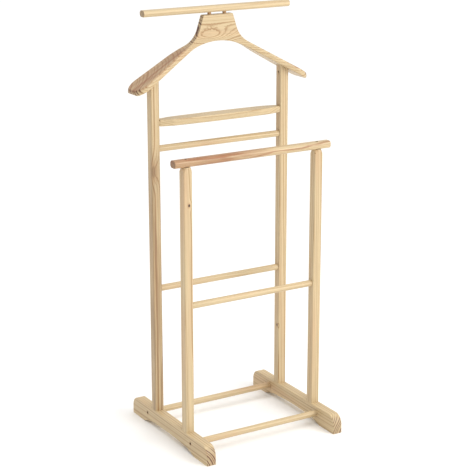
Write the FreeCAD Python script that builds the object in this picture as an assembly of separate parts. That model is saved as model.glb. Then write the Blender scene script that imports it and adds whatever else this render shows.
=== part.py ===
import FreeCAD, Part
import math
import os

# Valet stand in solid pine, in millimetres.
# X runs along the shoulders, -Y is the front, +Y the side with the jacket hanger, +Z is up.
# The origin is on the floor, in the middle between the four foot pads.

# ---- driving dimensions -------------------------------------------------------------------
post_x = 160.0             # centre of a post from the middle plane, sideways
post_y = 69.0              # centre of a post from the middle plane, front to back
post_side = 20.0           # square section of the posts
post_edge = 2.5            # rounding along the posts

foot_length = 338.0
foot_thickness = 22.0
foot_height = 41.0
foot_end_radius = 22.0     # big rounding at the top of each foot end
foot_pad_inner = 113.0     # where the flat pads stop and the arch begins
foot_arch_knee = (75.0, 10.0)
foot_arch_rise = 13.0
foot_edge = 2.0

rod_diameter = 14.0
rod_socket = 12.0          # how deep a rod sits in a post or a foot
bottom_rod_y = 97.5
bottom_rod_z = 24.5
mid_rod_z = 322.0
upper_rod_z = 631.5

rail_z = 687.0             # shaped board between the rear posts
rail_thickness = 14.0
rail_half_middle = 19.0
rail_half_shoulder = 16.0
rail_half_end = 8.5
rail_shoulder_x = 118.0
rail_end_gap = 1.5         # the board's shoulders stop just short of the posts
rail_tongue = (16.0, 10.0, 11.0)     # across Y, up Z, depth in the post
rail_edge = 2.0
tongue_edge = 1.5

front_bar_z = 630.0
front_bar_half = 190.0
front_bar_section = (22.0, 16.0, 6.8)    # across Y, up Z, corner radius
front_post_taper = 20.0    # turned relief below the top of a front post
front_post_tip_radius = 9.2

top_bar_half = 178.0
top_bar_section = (20.0, 14.0, 6.0)
bar_end_edge = 1.5

neck_top_z = 904.0
neck_half = 37.0
neck_set_back = 9.0        # middle of the thin neck, behind the posts' centre
neck_thickness = 14.0
neck_bar_gap = 5.0         # open slot between the neck and the bar above it
neck_lean = 15.5           # degrees off vertical of the neck's two sides
neck_fillet = 60.0
arm_angle = 29.6           # slope of the hanger's arms, degrees
arm_thickness = 12.0
arch_crown_z = 848.0
arch_radius = 140.0
hanger_half = 212.5
# Plan of one arm: from the thin neck it fans out into a broad shoulder with a rounded end.
arm_neck_x = 44.0          # the widening starts here
arm_flare_x = 70.0         # from here on the front edge is straight
arm_flare = 15.5           # degrees between the front edge and the neck's face
arm_full_x = 112.0         # the back edge is straight from here on
arm_back = 31.0            # back edge, behind the posts' centre
arm_front_corner = 21.0
arm_back_corner = 25.0
arm_nose_slack = 0.6       # the plan runs just past the rounded nose of the arm

spacer_diameter = 8.0
spacer_half_pitch = 18.4
spacer_in_neck = 16.0
spacer_in_bar = 8.0

dowel_diameter = 6.0
dowel_half_length = 14.0
dowel_offset = 4.5         # behind or before the post's centre, towards the middle
screw_offset = -4.5        # the post screw sits on the other side of that centre

# Countersunk wood screws: shank diameter, head diameter, head height, total length.
foot_screw = (3.5, 6.0, 2.4, 36.0)
post_screw = (4.5, 8.4, 3.2, 48.0)
bar_screw = (3.5, 6.6, 2.6, 40.0)
hanger_screw = (3.2, 5.8, 2.2, 20.0)
foot_screw_recess = 2.0
post_screw_seat_z = 20.0
bar_screw_recess = 0.6
pocket_head_depth = 3.0    # measured along the screw from the post's face
pocket_mouth_length = 15.0 # bore above the head, long enough to leave the post
pocket_start_z = 766.0     # where the pocket's centre line leaves the post's inner face
screw_point = 4.0
head_rim = 0.4
drill_clearance = 1.0      # how far a recess is cut past the surface


flat = 0.01                # an edge shorter than this in one direction lies square to it
neck_y = post_y + neck_set_back


# ---- helpers ----------------------------------------------------------------------------
def vec(x, y, z):
    return FreeCAD.Vector(x, y, z)


def box(x0, x1, y0, y1, z0, z1):
    return Part.makeBox(x1 - x0, y1 - y0, z1 - z0, vec(x0, y0, z0))


def line(a, b):
    return Part.LineSegment(a, b).toShape()


def arc(a, middle, b):
    return Part.Arc(a, middle, b).toShape()


def arc_from(start, tangent, end):
    """Arc that leaves start along tangent and ends at end, with its end direction."""
    chord = end - start
    along = FreeCAD.Vector(tangent).normalize()
    normal = chord - along * chord.dot(along)
    normal.normalize()
    radius = chord.Length ** 2 / (2 * chord.dot(normal))
    centre = start + normal * radius
    middle = (start + end) * 0.5 - centre
    middle = centre + middle.normalize() * radius
    spoke = (end - centre) * (1 / radius)
    return arc(start, middle, end), normal * spoke.dot(along) - along * spoke.dot(normal)


def prism(edges, direction):
    return Part.Face(Part.Wire(Part.__sortEdges__(edges))).extrude(direction)


def rounded(shape, radius, wanted):
    return shape.makeFillet(radius, [edge for edge in shape.Edges if wanted(edge)])


def mirror_x(shape):
    return shape.mirror(vec(0, 0, 0), vec(1, 0, 0))


def rod(x0, x1, y, z, diameter):
    return Part.makeCylinder(diameter / 2, x1 - x0, vec(x0, y, z), vec(1, 0, 0))


def screw(size, seat, direction):
    """Countersunk screw whose flat head lies at seat and which runs along direction."""
    shank, head, head_height, length = size
    profile = [
        vec(0, 0, 0),
        vec(head / 2, 0, 0),
        vec(head / 2, 0, head_rim),
        vec(shank / 2, 0, head_height),
        vec(shank / 2, 0, length - screw_point),
        vec(0, 0, length),
    ]
    body = Part.Face(Part.makePolygon(profile + [profile[0]]))
    body = body.revolve(vec(0, 0, 0), vec(0, 0, 1), 360)
    turn = FreeCAD.Rotation(vec(0, 0, 1), direction)
    body.Placement = FreeCAD.Placement(seat, turn)
    return body


def recess(diameter, seat, direction, depth):
    """Open bore above a screw's seat, back out to the surface."""
    return Part.makeCylinder(diameter / 2, depth, seat, direction * -1)


# ---- feet -------------------------------------------------------------------------------
def foot_blank():
    half = foot_length / 2
    low = foot_height - foot_end_radius
    middle_turn = foot_end_radius * (1 - math.sqrt(0.5))
    knee_y, knee_z = foot_arch_knee
    edges = []
    crown = vec(0, 0, foot_arch_rise)
    for side in (1, -1):
        edges.append(line(vec(0, side * half, 0), vec(0, side * half, low)))
        edges.append(arc(
            vec(0, side * half, low),
            vec(0, side * (half - middle_turn), foot_height - middle_turn),
            vec(0, side * (half - foot_end_radius), foot_height)))
        knee = vec(0, side * knee_y, knee_z)
        upper, knee_direction = arc_from(crown, vec(0, side, 0), knee)
        lower, _ = arc_from(knee, knee_direction, vec(0, side * foot_pad_inner, 0))
        edges += [upper, lower]
        edges.append(line(vec(0, side * foot_pad_inner, 0), vec(0, side * half, 0)))
    top_y = half - foot_end_radius
    edges.append(line(vec(0, top_y, foot_height), vec(0, -top_y, foot_height)))
    blank = prism(edges, vec(foot_thickness, 0, 0))

    def round_this(edge):
        # the sides' edges along the ends and over the top, not those of the arch and the pads
        size = edge.BoundBox
        upright = size.YLength < flat
        return size.XLength < flat and size.ZMax > low - flat and (upright or size.ZMin > low - flat)
    return rounded(blank, foot_edge, round_this)


# ---- jacket hanger ------------------------------------------------------------------------
def hanger_outline():
    """Front outline of one half in the XZ plane, from the crown of the arch to the neck."""
    slope = math.radians(arm_angle)
    down = vec(math.cos(slope), 0, -math.sin(slope))
    outward = vec(math.sin(slope), 0, math.cos(slope))
    arch_centre = vec(0, 0, arch_crown_z - arch_radius)
    arch_end = arch_centre + outward * arch_radius
    half_turn = slope / 2
    arch_middle = arch_centre + vec(math.sin(half_turn), 0, math.cos(half_turn)) * arch_radius

    nose_radius = arm_thickness / 2
    along = (hanger_half - nose_radius - arch_end.x - outward.x * nose_radius) / down.x
    lower_end = arch_end + down * along
    nose_centre = lower_end + outward * nose_radius
    upper_end = nose_centre + outward * nose_radius

    neck_corner = vec(neck_half, 0, neck_top_z)
    lean = math.radians(neck_lean)
    neck_down = vec(math.sin(lean), 0, -math.cos(lean))
    # Where the neck's side would meet the top of the arm.
    upper_start = arch_end + outward * arm_thickness
    gap = upper_start - neck_corner
    reach = gap.dot(outward) / neck_down.dot(outward)
    corner = neck_corner + neck_down * reach
    turn = math.radians(90 - neck_lean - arm_angle)
    tangent_length = neck_fillet * math.tan(turn / 2)
    fillet_start = corner - neck_down * tangent_length
    fillet_end = corner + down * tangent_length
    bisector = (down - neck_down).normalize()
    fillet_middle = corner + bisector * (neck_fillet / math.cos(turn / 2) - neck_fillet)

    return [
        arc(vec(0, 0, arch_crown_z), arch_middle, arch_end),
        line(arch_end, lower_end),
        arc(lower_end, nose_centre + down * nose_radius, upper_end),
        line(upper_end, fillet_end),
        arc(fillet_end, fillet_middle, fillet_start),
        line(fillet_start, neck_corner),
    ]


def hanger_plan():
    """Outline from above: thin neck, arms that fan out to both sides, rounded ends."""
    neck_front = vec(arm_neck_x, neck_y - neck_thickness / 2, 0)
    neck_back = vec(arm_neck_x, neck_y + neck_thickness / 2, 0)
    outward = vec(1, 0, 0)
    end_x = hanger_half + arm_nose_slack

    flare = math.radians(arm_flare)
    flare_radius = (arm_flare_x - arm_neck_x) / math.sin(flare)
    front_start = neck_front + vec(arm_flare_x - arm_neck_x, -flare_radius * (1 - math.cos(flare)), 0)
    along_front = vec(math.cos(flare), -math.sin(flare), 0)
    inward = vec(math.sin(flare), math.cos(flare), 0)
    reach = (end_x - arm_front_corner - front_start.x - arm_front_corner * inward.x) / along_front.x
    front_end = front_start + along_front * reach
    front_centre = front_end + inward * arm_front_corner
    front_nose = front_centre + outward * arm_front_corner
    front_middle = front_centre + (outward - inward).normalize() * arm_front_corner

    full_back = vec(arm_full_x, post_y + arm_back, 0)
    halfway = (neck_back + full_back) * 0.5
    swell, direction = arc_from(neck_back, outward, halfway)
    settle, _ = arc_from(halfway, direction, full_back)
    back_centre = vec(end_x - arm_back_corner, full_back.y - arm_back_corner, 0)
    back_end = back_centre + vec(0, arm_back_corner, 0)
    back_nose = back_centre + outward * arm_back_corner
    back_middle = back_centre + vec(1, 1, 0).normalize() * arm_back_corner

    half = [
        arc_from(neck_front, outward, front_start)[0],
        line(front_start, front_end),
        arc(front_end, front_middle, front_nose),
        line(front_nose, back_nose),
        arc(back_nose, back_middle, back_end),
        line(back_end, full_back),
        settle,
        swell,
    ]
    edges = half + [mirror_x(edge) for edge in half]
    for corner in (neck_front, neck_back):
        edges.append(line(vec(-corner.x, corner.y, 0), corner))
    return edges


def hanger_blank():
    half = hanger_outline()
    full = half + [mirror_x(edge) for edge in half]
    full.append(line(vec(-neck_half, 0, neck_top_z), vec(neck_half, 0, neck_top_z)))
    board = prism(full, vec(0, 2 * neck_y, 0))
    plan = prism(hanger_plan(), vec(0, 0, 2 * neck_top_z))
    return board.common(plan).Solids[0]


def hanger_underside(x):
    """Height of the arms' lower face at a distance x from the middle plane."""
    slope = math.radians(arm_angle)
    start_x = arch_radius * math.sin(slope)
    start_z = arch_crown_z - arch_radius * (1 - math.cos(slope))
    return start_z - (x - start_x) * math.tan(slope)


# ---- posts ------------------------------------------------------------------------------
def post_blank(x, y, top):
    half = post_side / 2
    blank = box(x - half, x + half, y - half, y + half, foot_height, top)
    return rounded(blank, post_edge, lambda edge: edge.BoundBox.ZLength > post_side)


def rear_post_blank():
    """Right rear post, cut at the top to the slope of the hanger's arm."""
    near = post_x - post_side
    far = post_x + post_side
    blank = post_blank(post_x, post_y, hanger_underside(near))
    wedge = prism([
        line(vec(near, 0, hanger_underside(near)), vec(far, 0, hanger_underside(far))),
        line(vec(far, 0, hanger_underside(far)), vec(far, 0, neck_top_z)),
        line(vec(far, 0, neck_top_z), vec(near, 0, neck_top_z)),
        line(vec(near, 0, neck_top_z), vec(near, 0, hanger_underside(near))),
    ], vec(0, 2 * post_y, 0))
    return blank.cut(wedge)


def front_post_blank():
    """Right front post, with its corners turned away just under the bar."""
    top = front_bar_z - front_bar_section[1] / 2
    blank = post_blank(post_x, -post_y, top)
    corner = post_side / 2 * math.sqrt(2)
    start = top - front_post_taper
    profile = [
        line(vec(0, 0, foot_height), vec(corner, 0, foot_height)),
        line(vec(corner, 0, foot_height), vec(corner, 0, start)),
        arc_from(vec(corner, 0, start), vec(0, 0, 1), vec(front_post_tip_radius, 0, top))[0],
        line(vec(front_post_tip_radius, 0, top), vec(0, 0, top)),
        line(vec(0, 0, top), vec(0, 0, foot_height)),
    ]
    face = Part.Face(Part.Wire(Part.__sortEdges__(profile)))
    turned = face.revolve(vec(0, 0, 0), vec(0, 0, 1), 360)
    turned.translate(vec(post_x, -post_y, 0))
    return blank.common(turned)


# ---- bars and rail ------------------------------------------------------------------------
def bar(half_length, y, z, section):
    width, height, radius = section
    blank = box(-half_length, half_length, y - width / 2, y + width / 2, z - height / 2, z + height / 2)
    blank = rounded(blank, radius, lambda edge: edge.BoundBox.XLength > half_length)
    return rounded(blank, bar_end_edge, lambda edge: edge.BoundBox.XLength < flat)


def rail_solid():
    """Flat board between the rear posts, widest in the middle, with a tongue at each end."""
    end_x = post_x - post_side / 2 - rail_end_gap
    edges = []
    for side in (1, -1):
        shoulder_left = vec(-rail_shoulder_x, side * rail_half_shoulder, 0)
        shoulder_right = vec(rail_shoulder_x, side * rail_half_shoulder, 0)
        edges.append(arc(shoulder_left, vec(0, side * rail_half_middle, 0), shoulder_right))
        edges.append(line(shoulder_left, vec(-end_x, side * rail_half_end, 0)))
        edges.append(line(shoulder_right, vec(end_x, side * rail_half_end, 0)))
    for x in (end_x, -end_x):
        edges.append(line(vec(x, -rail_half_end, 0), vec(x, rail_half_end, 0)))
    board = prism(edges, vec(0, 0, rail_thickness))
    board = rounded(board, rail_edge, lambda edge: edge.BoundBox.ZLength < flat)
    board.translate(vec(0, post_y, rail_z - rail_thickness / 2))
    width, height, depth = rail_tongue
    reach = post_x - post_side / 2 + depth
    tongue = box(-reach, reach, post_y - width / 2, post_y + width / 2,
                 rail_z - height / 2, rail_z + height / 2)
    tongue = rounded(tongue, tongue_edge, lambda edge: edge.BoundBox.XLength > reach)
    return board.fuse(tongue).removeSplitter()


# ---- assembly ---------------------------------------------------------------------------
parts = {}
inner_x = post_x - post_side / 2
foot_inner_x = post_x - foot_thickness / 2
foot_outer_x = post_x + foot_thickness / 2

# Rods across the stand.
post_rod_reach = inner_x + rod_socket
foot_rod_reach = foot_inner_x + rod_socket
parts["upper_rear_rod"] = rod(-post_rod_reach, post_rod_reach, post_y, upper_rod_z, rod_diameter)
parts["mid_rear_rod"] = rod(-post_rod_reach, post_rod_reach, post_y, mid_rod_z, rod_diameter)
parts["mid_front_rod"] = rod(-post_rod_reach, post_rod_reach, -post_y, mid_rod_z, rod_diameter)
parts["bottom_rear_rod"] = rod(-foot_rod_reach, foot_rod_reach, bottom_rod_y, bottom_rod_z, rod_diameter)
parts["bottom_front_rod"] = rod(-foot_rod_reach, foot_rod_reach, -bottom_rod_y, bottom_rod_z, rod_diameter)
rods = list(parts.values())

parts["valet_rail"] = rail_solid()
front_bar = bar(front_bar_half, -post_y, front_bar_z, front_bar_section)
top_bar_z = neck_top_z + neck_bar_gap + top_bar_section[1] / 2
top_bar = bar(top_bar_half, neck_y, top_bar_z, top_bar_section)
hanger = hanger_blank()

# Two wooden dowels carry the top bar on the hanger's neck.
spacer_bottom = neck_top_z - spacer_in_neck
spacer_length = spacer_in_neck + neck_bar_gap + spacer_in_bar
for side, word in ((-1, "left"), (1, "right")):
    spacer = Part.makeCylinder(spacer_diameter / 2, spacer_length,
                               vec(side * spacer_half_pitch, neck_y, spacer_bottom))
    parts["neck_dowel_" + word] = spacer
    hanger = hanger.cut(spacer)
    top_bar = top_bar.cut(spacer)

# Screw from the pocket in each rear post, square to the underside of the hanger's arm.
slope = math.radians(arm_angle)
pocket_direction = vec(math.sin(slope), 0, math.cos(slope))
pocket_mouth = vec(inner_x, post_y, pocket_start_z)
pocket_seat = pocket_mouth + pocket_direction * pocket_head_depth
right_hanger_screw = screw(hanger_screw, pocket_seat, pocket_direction)
pocket = recess(hanger_screw[1], pocket_seat, pocket_direction, pocket_mouth_length)
right_rear_post = rear_post_blank().cut(right_hanger_screw).cut(pocket)
right_front_post = front_post_blank()

# Screw down through the front bar into the top of each front post.
bar_top = front_bar_z + front_bar_section[1] / 2
bar_seat = vec(post_x, -post_y, bar_top - bar_screw_recess)
right_bar_screw = screw(bar_screw, bar_seat, vec(0, 0, -1))
bar_recess = recess(bar_screw[1], bar_seat, vec(0, 0, -1), bar_screw_recess + drill_clearance)
right_front_post = right_front_post.cut(right_bar_screw)

# One foot with its bores, the screws into the rod ends and the fixings of the posts.
foot = foot_blank()
foot.translate(vec(foot_inner_x, 0, 0))
right_fixings = {}
posts = {"rear": right_rear_post, "front": right_front_post}
for word, side in (("rear", 1), ("front", -1)):
    rod_seat = vec(foot_outer_x - foot_screw_recess, side * bottom_rod_y, bottom_rod_z)
    rod_screw = screw(foot_screw, rod_seat, vec(-1, 0, 0))
    rod_recess = recess(foot_screw[1], rod_seat, vec(-1, 0, 0), foot_screw_recess + drill_clearance)
    seat = vec(post_x, side * (post_y + screw_offset), post_screw_seat_z)
    riser = screw(post_screw, seat, vec(0, 0, 1))
    riser_recess = recess(post_screw[1], seat, vec(0, 0, 1), post_screw_seat_z)
    dowel = Part.makeCylinder(dowel_diameter / 2, 2 * dowel_half_length,
                              vec(post_x, side * (post_y + dowel_offset), foot_height - dowel_half_length))
    foot = foot.cut(rod_screw).cut(rod_recess).cut(riser).cut(riser_recess).cut(dowel)
    posts[word] = posts[word].cut(riser).cut(dowel)
    right_fixings["foot_screw_" + word] = rod_screw
    right_fixings["post_screw_" + word] = riser
    right_fixings["post_dowel_" + word] = dowel
right_fixings["bar_screw"] = right_bar_screw
right_fixings["hanger_screw"] = right_hanger_screw

# Sockets for the rods and the rail's tongues.
for solid in rods:
    foot = foot.cut(solid)
    for word in posts:
        posts[word] = posts[word].cut(solid)
posts["rear"] = posts["rear"].cut(parts["valet_rail"])

for word, wanted in (("bottom_rear_rod", "foot_screw_rear"), ("bottom_front_rod", "foot_screw_front")):
    parts[word] = parts[word].cut(right_fixings[wanted]).cut(mirror_x(right_fixings[wanted]))
for bore in (right_bar_screw, bar_recess):
    front_bar = front_bar.cut(bore).cut(mirror_x(bore))
hanger = hanger.cut(right_hanger_screw).cut(mirror_x(right_hanger_screw))

parts["jacket_hanger"] = hanger
parts["top_bar"] = top_bar
parts["front_bar"] = front_bar
for side, place in (("left", mirror_x), ("right", lambda shape: shape)):
    parts[side + "_foot"] = place(foot)
    for word, solid in posts.items():
        parts[word + "_" + side + "_post"] = place(solid)
    for name, solid in right_fixings.items():
        parts[name + "_" + side] = place(solid)

os.makedirs("parts", exist_ok=True)
for name, shape in sorted(parts.items()):
    if not shape.isValid() or len(shape.Solids) != 1:
        raise RuntimeError("bad solid: " + name)
    shape.Solids[0].exportStep("parts/" + name + ".step")
    size = shape.BoundBox
    print(name, round(shape.Volume), [round(v, 1) for v in (size.XLength, size.YLength, size.ZLength)])
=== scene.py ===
import math
import bpy
import bmesh
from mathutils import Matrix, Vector


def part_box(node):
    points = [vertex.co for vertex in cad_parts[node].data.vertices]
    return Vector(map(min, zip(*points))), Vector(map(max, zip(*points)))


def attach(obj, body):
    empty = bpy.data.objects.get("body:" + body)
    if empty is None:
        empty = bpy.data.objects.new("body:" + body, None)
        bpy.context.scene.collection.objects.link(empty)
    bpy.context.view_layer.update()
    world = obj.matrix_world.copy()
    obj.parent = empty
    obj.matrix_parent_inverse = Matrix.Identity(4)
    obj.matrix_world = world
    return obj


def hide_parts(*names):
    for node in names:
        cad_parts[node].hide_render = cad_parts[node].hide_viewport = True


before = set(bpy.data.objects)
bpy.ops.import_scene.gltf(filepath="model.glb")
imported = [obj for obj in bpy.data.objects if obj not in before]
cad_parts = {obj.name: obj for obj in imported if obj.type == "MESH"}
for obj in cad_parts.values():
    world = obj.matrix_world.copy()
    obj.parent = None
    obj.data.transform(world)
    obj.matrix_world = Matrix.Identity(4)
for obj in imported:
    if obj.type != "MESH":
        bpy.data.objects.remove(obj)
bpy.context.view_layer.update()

print("frame loaded:", len(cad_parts), "pieces of the stand")


def mm(value):
    return value / 1000


def shade(red, green, blue):
    # a paint chip's 0-255 values as a linear colour
    linear = [((v / 255 + 0.055) / 1.055) ** 2.4 if v > 10 else v / 255 / 12.92 for v in (red, green, blue)]
    return (*linear, 1.0)


def addObject(name, data):
    made = bpy.data.objects.new(name, data)
    bpy.context.scene.collection.objects.link(made)
    return made


# Node helpers.
def addNode(tree, kind, **settings):
    node = tree.nodes.new(kind)
    for name, value in settings.items():
        setattr(node, name, value)
    return node


def plug(tree, socket, value):
    if isinstance(value, bpy.types.NodeSocket):
        tree.links.new(value, socket)
    elif value is not None:
        socket.default_value = value


def calc(tree, operation, a, b=None, c=None):
    node = addNode(tree, "ShaderNodeMath", operation=operation)
    for socket, value in zip(node.inputs, (a, b, c)):
        plug(tree, socket, value)
    return node.outputs[0]


def times(tree, a, b):
    return calc(tree, "MULTIPLY", a, b)


def vectorCalc(tree, operation, a, b=None):
    node = addNode(tree, "ShaderNodeVectorMath", operation=operation)
    plug(tree, node.inputs[0], a)
    plug(tree, node.inputs["Scale"] if operation == "SCALE" else node.inputs[1], b)
    return node.outputs["Value"] if operation in ("LENGTH", "DOT_PRODUCT") else node.outputs["Vector"]


def ramp(tree, value, low, high, toLow=0.0, toHigh=1.0, smooth=True):
    node = addNode(tree, "ShaderNodeMapRange")
    node.interpolation_type = "SMOOTHSTEP" if smooth else "LINEAR"
    names = ("Value", "From Min", "From Max", "To Min", "To Max")
    for name, given in zip(names, (value, low, high, toLow, toHigh)):
        plug(tree, node.inputs[name], given)
    return node.outputs["Result"]


def blendColours(tree, share, first, second, how="MIX"):
    node = addNode(tree, "ShaderNodeMix", data_type="RGBA", blend_type=how)
    plug(tree, node.inputs[0], share)
    plug(tree, node.inputs[6], first)
    plug(tree, node.inputs[7], second)
    return node.outputs[2]


def noise(tree, vector, scale, detail=2.0, rough=0.5, seed=0.0):
    node = addNode(tree, "ShaderNodeTexNoise", noise_dimensions="4D")
    names = ("Vector", "W", "Scale", "Detail", "Roughness")
    for name, value in zip(names, (vector, seed, scale, detail, rough)):
        plug(tree, node.inputs[name], value)
    return node


def stretchedNoise(tree, vector, cycles, detail, rough, seed=0.0):
    # cycles: how many to a metre along each axis
    return noise(tree, vectorCalc(tree, "MULTIPLY", vector, cycles), 1.0, detail, rough, seed).outputs[0]


def newGroup(name, inputs, outputs):
    tree = bpy.data.node_groups.new(name, "ShaderNodeTree")
    kinds = {"f": "NodeSocketFloat", "v": "NodeSocketVector", "c": "NodeSocketColor"}
    for label, kind, value in inputs:
        socket = tree.interface.new_socket(label, in_out="INPUT", socket_type=kinds[kind])
        if value is not None:
            socket.default_value = value
    for label, kind in outputs:
        tree.interface.new_socket(label, in_out="OUTPUT", socket_type=kinds[kind])
    return tree, tree.nodes.new("NodeGroupInput").outputs, tree.nodes.new("NodeGroupOutput").inputs


def place(tree, group, **values):
    node = addNode(tree, "ShaderNodeGroup", node_tree=group)
    for label, value in values.items():
        plug(tree, node.inputs[label.replace("_", " ")], value)
    return node.outputs


# What every board of pine shares.
# The vector runs with Z along the grain and has the pith of the tree on its Z axis.
growthLook = {
    "drift": (16.0, 16.0, 2.6),  # cycles to a metre: the trunk's slow bends
    "seasons": 75.0,
    "seasonSwing": 1.6,  # in ring widths
    "faintestRing": 0.45,
    "darkest": 0.9,  # place in a year's ring, 0 at its inner side
    "lateEnd": 0.92,
    "fineFibres": (1100.0, 1100.0, 16.0),
    "broadFibres": (260.0, 260.0, 4.5),
    "tone": (34.0, 34.0, 3.4),
    "canals": (1500.0, 1500.0, 70.0),
    "canalShare": (0.68, 0.78),
    "canalSeason": (0.45, 0.7),
    "ringHeight": 0.45,
    "fibreHeight": 0.55,
    "canalDepth": 0.35,
}


def makeGrowthRings():
    tree, given, out = newGroup(
        "growthRings",
        [("Vector", "v", None), ("Spacing", "f", 0.004), ("Wander", "f", 0.006), ("Late wood", "f", 0.4),
         ("Knot lift", "f", 0.0), ("Seed", "f", 0.0)],
        [("Rings", "f"), ("Fibres", "f"), ("Tone", "f"), ("Canals", "f"), ("Height", "f")])
    vector, seed, look = given["Vector"], given["Seed"], growthLook
    slow = vectorCalc(tree, "MULTIPLY", vector, look["drift"])
    drift = noise(tree, slow, 1.0, 2.0, 0.5, seed).outputs["Color"]
    drift = vectorCalc(tree, "SUBTRACT", drift, (0.5, 0.5, 0.5))
    bent = vectorCalc(tree, "ADD", vector, vectorCalc(tree, "SCALE", drift, given["Wander"]))
    across = vectorCalc(tree, "LENGTH", vectorCalc(tree, "MULTIPLY", bent, (1.0, 1.0, 0.0)))
    across = calc(tree, "ADD", across, given["Knot lift"])
    # good and poor summers: ring widths vary
    seasons = addNode(tree, "ShaderNodeTexNoise", noise_dimensions="1D")
    plug(tree, seasons.inputs["W"], calc(tree, "MULTIPLY_ADD", across, look["seasons"], seed))
    seasons.inputs["Scale"].default_value = 1.0
    years = calc(tree, "DIVIDE", across, given["Spacing"])
    years = calc(tree, "MULTIPLY_ADD", seasons.outputs[0], look["seasonSwing"], years)
    season = calc(tree, "FRACT", years)
    strength = addNode(tree, "ShaderNodeTexWhiteNoise", noise_dimensions="1D")
    plug(tree, strength.inputs["W"], calc(tree, "FLOOR", years))
    strength = ramp(tree, strength.outputs["Value"], 0.0, 1.0, look["faintestRing"], 1.0, smooth=False)
    start = calc(tree, "SUBTRACT", 1.0, given["Late wood"])
    rise = ramp(tree, season, start, look["darkest"])
    fall = ramp(tree, season, look["lateEnd"], 1.0, 1.0, 0.0)
    rings = times(tree, times(tree, rise, fall), strength)
    fine = stretchedNoise(tree, vector, look["fineFibres"], 3.0, 0.6, seed)
    broad = stretchedNoise(tree, vector, look["broadFibres"], 2.0, 0.55, seed)
    fibres = calc(tree, "ADD", times(tree, fine, 0.5), times(tree, broad, 0.5))
    tone = stretchedNoise(tree, vector, look["tone"], 2.0, 0.5, seed)
    dashes = stretchedNoise(tree, vector, look["canals"], 1.0, 0.5, seed)
    inSeason = ramp(tree, season, *look["canalSeason"])
    canals = times(tree, ramp(tree, dashes, *look["canalShare"]), inSeason)
    height = times(tree, fibres, look["fibreHeight"])
    height = calc(tree, "MULTIPLY_ADD", rings, look["ringHeight"], height)
    height = calc(tree, "SUBTRACT", height, times(tree, canals, look["canalDepth"]))
    results = {"Rings": rings, "Fibres": fibres, "Tone": tone, "Canals": canals, "Height": height}
    for label, value in results.items():
        plug(tree, out[label], value)
    return tree


# A branch stub: how far it pushes the rings aside, and where its own dark wood shows.
# Distances are in knot sizes from the centre.
knotLook = {
    "ragged": 260.0,  # cycles to a metre
    "raggedShare": 0.5,
    "push": 2.4,
    "mark": (0.75, 1.15),
    "halo": (1.0, 2.8),
}


def makeKnot():
    tree, given, out = newGroup(
        "knot",
        [("Vector", "v", None), ("Centre", "v", None), ("Stretch", "v", (1.0, 1.0, 1.0)),
         ("Size", "f", 0.004), ("Push", "f", 0.01)],
        [("Lift", "f"), ("Mark", "f"), ("Halo", "f")])
    away = vectorCalc(tree, "SUBTRACT", given["Vector"], given["Centre"])
    away = vectorCalc(tree, "DIVIDE", away, given["Stretch"])
    grainy = vectorCalc(tree, "SCALE", given["Vector"], knotLook["ragged"])
    ragged = noise(tree, grainy, 1.0, 2.0, 0.6).outputs[0]
    distance = calc(tree, "DIVIDE", vectorCalc(tree, "LENGTH", away), given["Size"])
    ragged = times(tree, calc(tree, "SUBTRACT", ragged, 0.5), knotLook["raggedShare"])
    distance = calc(tree, "ADD", distance, ragged)
    near = calc(tree, "DIVIDE", distance, knotLook["push"])
    bump = calc(tree, "EXPONENT", times(tree, times(tree, near, near), -1.0))
    plug(tree, out["Lift"], times(tree, bump, given["Push"]))
    plug(tree, out["Mark"], ramp(tree, distance, *knotLook["mark"], 1.0, 0.0))
    plug(tree, out["Halo"], ramp(tree, distance, *knotLook["halo"], 1.0, 0.0))
    return tree


# Colour of lacquered pine from its masks; saw-cut ends drink more lacquer and go darker.
pineLook = {
    "pale": shade(203, 181, 142),
    "late": shade(158, 120, 76),
    "rose": shade(196, 160, 122),
    "brown": shade(152, 98, 62),
    "halo": shade(160, 114, 72),
    # dark wood of a knot; the same colour also paints the shade round the screw bores in the feet
    "knot": shade(62, 37, 24),
    "end": shade(98, 64, 50),
    # paler edges: handling wear plus a painted highlight along the arrises
    "edgeWearAndHighlight": shade(212, 194, 160),
    "endRings": 0.35,  # more contrast on the ends
    "roseTone": (0.48, 0.72),
    "brownRings": 0.3,
    "brownBase": 0.8,
    "fibreSpan": (0.3, 0.7),
    "streak": (0.8, 1.1),
    "canalShade": 0.28,
    "haloShare": 0.4,
    "endThirst": 1.25,
    "endBase": 0.18,
    "gloss": (0.4, 0.5),  # roughness
    "endRoughness": 0.18,
    "arrisFrom": (0.999, 0.93),  # how far the face turns away at an edge
    "arrisPatches": 55.0,  # cycles to a metre
    "arrisSpan": (0.38, 0.62),
}


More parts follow.
